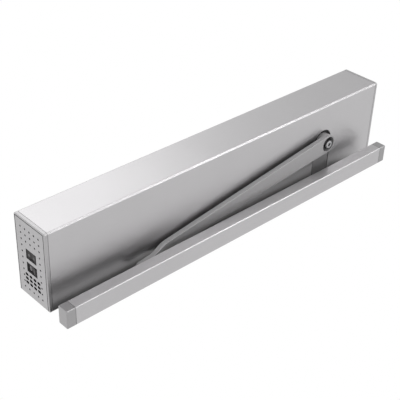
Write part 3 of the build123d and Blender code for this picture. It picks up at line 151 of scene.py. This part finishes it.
SATIN = dict(color=(0.520, 0.512, 0.520), rough=0.36, metallic=1.0, grain=DRAWN, variation=0.05,
             bump=0.000006, cloud=0.03)
PALE_FLOOR = dict(color=(0.92, 0.92, 0.92), rough=0.7, grain=POURED, variation=0.01, cloud=0.005)
ROCKER_PRINT = dict(color=(0.24, 0.235, 0.24), rough=0.6, grain=MOULDED, variation=0.1, bump=0.00001,
                    specular=0.25)

# The material of each slot in the record.
SURFACES = {
    "satin_aluminium": SATIN,
    "rail_aluminium": SATIN,
    # The end caps have painted shade inside the housing's box.
    "cap_aluminium": dict(color=(0.455, 0.449, 0.455), rough=0.42, metallic=1.0, grain=BLASTED,
                          variation=0.06, bump=0.00001, cloud=0.04, painted_shade_box=PAINTED_SHADE_BOX),
    "rail_cap": dict(color=(0.37, 0.365, 0.37), rough=0.36, metallic=1.0, grain=BLASTED,
                     variation=0.06, bump=0.00001, cloud=0.04),
    "arm_aluminium": dict(color=(0.29, 0.285, 0.29), rough=0.36, metallic=0.25, grain=DRAWN,
                          variation=0.06, bump=0.000008),
    "grey_insert": dict(color=(0.20, 0.197, 0.20), rough=0.5, metallic=0.3, grain=BLASTED,
                        variation=0.10, bump=0.00001),
    # The gear case is coloured near black as painted shade, so that the gap round the arm's hub looks dark.
    "case_enamel": dict(color=(0.035, 0.035, 0.038), rough=0.45, grain=CAST, variation=0.18,
                        bump=0.00004, cloud=0.10),
    "cast_aluminium": dict(color=(0.42, 0.425, 0.43), rough=0.52, metallic=1.0, grain=CAST,
                           variation=0.18, bump=0.00006, cloud=0.10),
    "zinc_steel": dict(color=(0.47, 0.48, 0.50), rough=0.38, metallic=1.0, grain=PLATED,
                       variation=0.16, bump=0.000008, cloud=0.12),
    "black_screws": dict(color=(0.022, 0.022, 0.025), rough=0.42, metallic=0.6, grain=BLASTED,
                         variation=0.30, bump=0.00001),
    "bright_screw": dict(color=(0.46, 0.46, 0.47), rough=0.30, metallic=1.0, grain=TURNED,
                         variation=0.12, bump=0.00001),
    "bearing_steel": dict(color=(0.030, 0.029, 0.030), rough=0.50, metallic=0.6, grain=TURNED,
                          variation=0.08),
    "ground_steel": dict(color=(0.50, 0.50, 0.52), rough=0.25, metallic=1.0, grain=TURNED,
                         variation=0.10),
    "gear_steel": dict(color=(0.34, 0.34, 0.36), rough=0.34, metallic=1.0, grain=TURNED,
                       variation=0.16),
    "carriage_iron": dict(color=(0.15, 0.15, 0.16), rough=0.45, metallic=0.9, grain=CAST,
                          variation=0.22, bump=0.00003),
    "spring_steel": dict(color=(0.12, 0.12, 0.14), rough=0.32, metallic=1.0, grain=TURNED,
                         variation=0.2),
    "motor_steel": dict(color=(0.20, 0.21, 0.23), rough=0.40, metallic=0.7, grain=BLASTED,
                        variation=0.12),
    "bush_bronze": dict(color=(0.60, 0.42, 0.18), rough=0.32, metallic=1.0, grain=TURNED,
                        variation=0.12),
    "black_plastic": dict(color=(0.018, 0.017, 0.018), rough=0.60, grain=MOULDED, variation=0.25,
                          specular=0.25),
    "rocker_plastic": dict(color=(0.036, 0.033, 0.034), rough=0.55, grain=MOULDED, variation=0.2,
                           bump=0.00001, specular=0.25),
    "grey_nylon": dict(color=(0.07, 0.07, 0.075), rough=0.5, grain=MOULDED, variation=0.2),
    "black_rubber": dict(color=(0.018, 0.018, 0.018), rough=0.75, grain=CAST, variation=0.3,
                         bump=0.00004),
    "circuit_board": dict(color=(0.02, 0.11, 0.05), rough=0.35, grain=WOVEN, variation=0.25, coat=0.3),
    "terminal_plastic": dict(color=(0.04, 0.22, 0.09), rough=0.42, grain=MOULDED, variation=0.15),
    "capacitor_sleeve": dict(color=(0.02, 0.025, 0.08), rough=0.28, grain=MOULDED, variation=0.15,
                             coat=0.2),
    "display_plastic": dict(color=(0.07, 0.008, 0.008), rough=0.15, grain=MOULDED, variation=0.1,
                            coat=0.5),
    "black_heat_sink": dict(color=(0.03, 0.03, 0.034), rough=0.42, metallic=0.5, grain=BLASTED,
                            variation=0.2),
    "lacquered_core": dict(color=(0.10, 0.07, 0.045), rough=0.35, grain=LAMINATED, variation=0.3,
                           coat=0.3),
}


class Nodes:
    """Small helper around a material's or world's node tree."""

    def __init__(self, owner):
        owner.use_nodes = True
        self.tree = owner.node_tree
        self.tree.nodes.clear()

    def add(self, kind, inputs=None, **attributes):
        """New node. Each of its inputs is linked to a socket or set to a value."""
        node = self.tree.nodes.new(kind)
        for name, value in attributes.items():
            setattr(node, name, value)
        for name, value in (inputs or {}).items():
            if isinstance(value, bpy.types.NodeSocket):
                self.tree.links.new(value, node.inputs[name])
            else:
                node.inputs[name].default_value = value
        return node

    def place(self):
        """Position in the object's own metres."""
        return self.add("ShaderNodeTexCoord").outputs["Object"]

    def noise(self, scale, stretch=EVEN, detail=3.0):
        """Noise in the object's own metres. The stretch sets its frequency along each axis."""
        mapped = self.add("ShaderNodeMapping", {"Vector": self.place(), "Scale": stretch})
        return self.add("ShaderNodeTexNoise", {"Vector": mapped.outputs["Vector"], "Scale": scale,
                                               "Detail": detail, "Roughness": 0.55}).outputs["Fac"]

    def ramp(self, value, start, end, first=0.0, last=1.0, **attributes):
        """Goes from first to last while the value goes from start to end."""
        return self.add("ShaderNodeMapRange", {"Value": value, "From Min": start, "From Max": end,
                                               "To Min": first, "To Max": last},
                        **attributes).outputs["Result"]

    def spread(self, texture, low, high):
        """Spreads the middle range of a texture's values between two numbers."""
        return self.ramp(texture, *TEXTURE_MIDDLE, low, high)

    def calc(self, operation, first, second):
        """Sum, product or the like of two numbers."""
        return self.add("ShaderNodeMath", {0: first, 1: second}, operation=operation).outputs[0]

    def mix_numbers(self, factor, first, second):
        """Mix of two numbers, which are sockets 2 and 3 of the mix node."""
        return self.add("ShaderNodeMix", {"Factor": factor, 2: first, 3: second},
                        data_type="FLOAT").outputs[0]

    def mix_colours(self, factor, first, second):
        """Mix of two colours, which are sockets 6 and 7 of the mix node."""
        return self.add("ShaderNodeMix", {"Factor": factor, 6: first, 7: second},
                        data_type="RGBA").outputs[2]

    def within(self, low, high):
        """Mask of a box in the object's own metres, with soft sides. None leaves a side open."""
        axes = self.add("ShaderNodeSeparateXYZ", {"Vector": self.place()})
        mask = None
        for axis in range(3):
            for limit, edge in ((low[axis], PAINTED_SHADE_EDGE), (high[axis], -PAINTED_SHADE_EDGE)):
                if limit is None:
                    continue
                side = self.ramp(axes.outputs[axis], limit - edge, limit + edge)
                mask = side if mask is None else self.calc("MULTIPLY", mask, side)
        return mask


def shade(color, amount):
    """The colour made darker or lighter, and opaque."""
    return (*(channel * amount for channel in color), 1.0)


def surface(name, color, rough, grain, variation, metallic=0.0, bump=0.00002, cloud=0.05,
            specular=0.5, coat=0.0, painted_shade_box=None):
    """Material with a fine grain in colour, roughness and bump, and a slow cloudy change over it.
    Inside the box for painted shade, the surface is painted a matt dark colour as shade."""
    material = bpy.data.materials.new(name)
    nodes = Nodes(material)
    fine = nodes.noise(*grain, detail=4.0)
    slow = nodes.noise(CLOUD_SCALE, detail=2.0)
    cloudy = cloud / variation
    both = nodes.calc("ADD", nodes.spread(fine, 0.0, 1.0), nodes.spread(slow, 0.0, cloudy))
    factor = nodes.calc("DIVIDE", both, 1.0 + cloudy)
    change = (variation + cloud) / 2
    colour = nodes.mix_colours(factor, shade(color, 1 - change), shade(color, 1 + change))
    roughness = nodes.spread(fine, rough - ROUGH_CHANGE, rough + ROUGH_CHANGE)
    # Painted shade: inside the box the colour turns dark and the surface matt.
    if painted_shade_box:
        mask = nodes.within(*painted_shade_box)
        colour = nodes.mix_colours(mask, colour, PAINTED_SHADE_COLOUR)
        roughness = nodes.mix_numbers(mask, roughness, PAINTED_SHADE_ROUGH)
    relief = nodes.add("ShaderNodeBump", {"Height": fine, "Distance": bump})
    shader = nodes.add("ShaderNodeBsdfPrincipled", {
        "Base Color": colour, "Roughness": roughness, "Metallic": metallic,
        "Specular IOR Level": specular, "Coat Weight": coat, "Normal": relief.outputs["Normal"]})
    nodes.add("ShaderNodeOutputMaterial", {"Surface": shader.outputs["BSDF"]})
    return material


def dress():
    """Gives every CAD node the material of its slot in the record."""
    made = {slot: surface(slot, **values) for slot, values in SURFACES.items()}
    for part in frame["record"]["subparts"]:
        obj = frame["nodes"][part["node"]]
        obj.data.materials.clear()
        obj.data.materials.append(made[part["material_slot"]])


def shown(name, points, faces, material):
    """New object from its points and faces, in the scene."""
    mesh = bpy.data.meshes.new(name)
    mesh.from_pydata(points, [], faces)
    mesh.materials.append(material)
    obj = bpy.data.objects.new(name, mesh)
    bpy.context.scene.collection.objects.link(obj)
    return obj


def ellipse(half_width, half_height):
    turns = [2 * math.pi * step / RING_POINTS for step in range(RING_POINTS)]
    return [(half_width * math.cos(turn), half_height * math.sin(turn)) for turn in turns]


def rectangle(half_width, half_height):
    return [(-half_width, -half_height), (half_width, -half_height),
            (half_width, half_height), (-half_width, half_height)]


def printed(name, outer, inner, material):
    """Thin flat mark in the YZ plane, facing -X: an outline with its inner outline left open."""
    points = [(x, y + MARK_ACROSS, z) for x in (0.0, -MARK_THICK) for y, z in outer + inner]
    count = len(outer)
    top = 2 * count
    faces = []
    for here in range(count):
        after = (here + 1) % count
        faces.append((top + after, top + here, top + count + here, top + count + after))
        faces.append((here, after, count + after, count + here))
        faces.append((after, here, top + here, top + after))
        faces.append((count + here, count + after, top + count + after, top + count + here))
    return shown(name, points, faces, material)


def joint(name):
    """The record's entry of a joint."""
    return next(entry for entry in frame["record"]["behaviour"]["joints"] if entry["name"] == name)


def rocker_mark(name, rocker, out, tilt, outline, sizes, material):
    """Puts a mark on a slope of a rocker that stands tilted by some degrees. It goes out above the
    middle of the rocker's face, or below it where out is negative."""
    outer, inner = (outline(*half) for half in sizes)
    mark = printed(name, outer, inner, material)
    pivot = Matrix.Translation(joint(rocker + "_tilt")["pos_m"])
    turned = Matrix.Rotation(math.radians(tilt), 4, "Y")
    middle = Matrix.Translation((-FACE_TO_PIVOT, 0.0, 0.0))
    slope = Matrix.Rotation(-math.copysign(FACE_SLOPE, out), 4, "Y")
    along = Matrix.Translation((0.0, 0.0, out))
    mark.matrix_world = pivot @ turned @ middle @ slope @ along
    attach(mark, rocker)


def rocker_marks():
    """A small square on each half of the program rocker, a ring and a bar on the mains rocker."""
    ink = surface("rocker_print", **ROCKER_PRINT)
    program = ("program_rocker", PROGRAM_TILT)
    mains = ("mains_rocker", MAINS_TILT)
    for name, (rocker, tilt), out, outline, sizes in (
            ("program_mark_one", program, FIRST_SQUARE_OUT, rectangle, SQUARE),
            ("program_mark_two", program, -MARK_OUT, rectangle, SQUARE),
            ("mains_mark_ring", mains, MARK_OUT, ellipse, RING),
            ("mains_mark_bar", mains, -MARK_OUT, rectangle, BAR)):
        rocker_mark(name, rocker, out, tilt, outline, sizes, ink)


def closing_coil():
    """The closing spring as a copy with a mesh of its own, in place of its rigid solid, hung on the
    housing.
    """
    rigid = frame["nodes"]["closing_spring"]
    coil = bpy.data.objects.new("closing_coil", rigid.data.copy())
    coil.matrix_world = rigid.matrix_world
    bpy.context.scene.collection.objects.link(coil)
    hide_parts("closing_spring")
    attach(coil, "housing")
    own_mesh(coil)


def camera():
    """Camera at the photograph's angle: azimuth, elevation and roll are about the wall's normal."""
    azimuth = math.radians(CAMERA_AZIMUTH)
    elevation = math.radians(CAMERA_ELEVATION)
    roll = math.radians(CAMERA_ROLL)
    level = math.cos(elevation)
    back = Vector((math.sin(azimuth) * level, -math.cos(azimuth) * level, math.sin(elevation)))
    right = Vector((math.cos(azimuth), math.sin(azimuth), 0.0))
    up = back.cross(right)
    rolled_right = right * math.cos(roll) + up * math.sin(roll)
    rolled_up = up * math.cos(roll) - right * math.sin(roll)
    # What is up in the photograph is -Y here.
    columns = [Vector((way.x, -way.z, way.y)) for way in (rolled_right, rolled_up, back)]
    data = bpy.data.cameras.new("camera")
    data.sensor_width = SENSOR_MM
    data.lens = FOCAL_PIXELS / IMAGE_PIXELS * SENSOR_MM
    data.clip_start = 0.01
    data.clip_end = 50.0
    obj = bpy.data.objects.new("camera", data)
    obj.matrix_world = Matrix.Translation(CAMERA_AT) @ Matrix(columns).transposed().to_4x4()
    bpy.context.scene.collection.objects.link(obj)
    bpy.context.scene.camera = obj
    bpy.context.scene.view_settings.view_transform = "Standard"


def world():
    """Plain studio surroundings: white behind the object, a little darker on the far side."""
    sky = bpy.data.worlds.new("studio")
    bpy.context.scene.world = sky
    nodes = Nodes(sky)
    path = nodes.add("ShaderNodeLightPath")
    seen = nodes.calc("MAXIMUM", path.outputs["Is Camera Ray"], path.outputs["Is Transmission Ray"])
    way = nodes.add("ShaderNodeTexCoord").outputs["Generated"]
    along = nodes.add("ShaderNodeSeparateXYZ", {"Vector": way}).outputs["X"]
    fall = nodes.ramp(along, FALL_STARTS, FALL_ENDS, 1.0, FAR_SIDE, interpolation_type="SMOOTHSTEP")
    grey = nodes.add("ShaderNodeCombineColor", {0: fall, 1: fall, 2: fall}).outputs[0]
    matt = nodes.add("ShaderNodeBackground", {"Color": grey, "Strength": ROOM_LIGHT})
    shiny = nodes.add("ShaderNodeBackground", {"Color": grey, "Strength": REFLECTED_LIGHT})
    white = nodes.add("ShaderNodeBackground", {"Color": (1.0, 1.0, 1.0, 1.0), "Strength": 1.0})
    room = nodes.add("ShaderNodeMixShader", {0: path.outputs["Is Glossy Ray"], 1: matt.outputs[0],
                                             2: shiny.outputs[0]})
    both = nodes.add("ShaderNodeMixShader", {0: seen, 1: room.outputs[0], 2: white.outputs[0]})
    nodes.add("ShaderNodeOutputWorld", {"Surface": both.outputs[0]})


def plane(name, corners, material):
    """Flat piece of the stage, which isn't part of the object."""
    obj = shown(name, corners, [(0, 1, 2, 3)], material)
    return obj


def painted_shade_card():
    """Painted shade: a dark grey sheet in the wall's plane behind the open gap between housing and rail,
    unseen by the camera itself, which darkens the gap and its reflections. It is thin by the rail and dense
    by the housing, and fades out at its right end."""
    material = bpy.data.materials.new("painted_shade_scrim")
    nodes = Nodes(material)
    axes = nodes.add("ShaderNodeSeparateXYZ", {"Vector": nodes.place()})
    middle = (SCRIM_LOW + SCRIM_HIGH) / 2
    upwards = nodes.ramp(axes.outputs["Z"], SCRIM_LOW, middle, SCRIM_THIN, 1.0)
    along = nodes.ramp(axes.outputs["X"], SCRIM_FADES_FROM, SCRIM_RIGHT, 1.0, 0.0)
    cover = nodes.calc("MULTIPLY", upwards, along)
    colour = nodes.mix_colours(nodes.noise(SCRIM_GRAIN), *PAINTED_SHADE_GREYS)
    shader = nodes.add("ShaderNodeBsdfPrincipled", {"Base Color": colour, "Roughness": 0.9, "Alpha": cover})
    nodes.add("ShaderNodeOutputMaterial", {"Surface": shader.outputs["BSDF"]})
    corners = [(SCRIM_LEFT, SCRIM_Y, SCRIM_LOW), (SCRIM_RIGHT, SCRIM_Y, SCRIM_LOW),
               (SCRIM_RIGHT, SCRIM_Y, SCRIM_HIGH), (SCRIM_LEFT, SCRIM_Y, SCRIM_HIGH)]
    card = plane("painted_shade_card", corners, material)
    card.visible_camera = False


def lamp(name, at, size, power):
    """Round soft lamp."""
    data = bpy.data.lights.new(name, "AREA")
    data.shape = "DISK"
    data.size = size
    data.energy = power
    obj = bpy.data.objects.new(name, data)
    obj.location = at
    obj.rotation_euler = (LAMP_AIM - Vector(at)).to_track_quat("-Z", "Y").to_euler()
    bpy.context.scene.collection.objects.link(obj)


def floor():
    corners = [(x, y, FLOOR_Z) for x, y in rectangle(FLOOR_HALF, FLOOR_HALF)]
    plane("floor", corners, surface("pale_floor", **PALE_FLOOR))


camera()
dress()
rocker_marks()
closing_coil()
world()
painted_shade_card()
for values in LAMPS:
    lamp(*values)
floor()
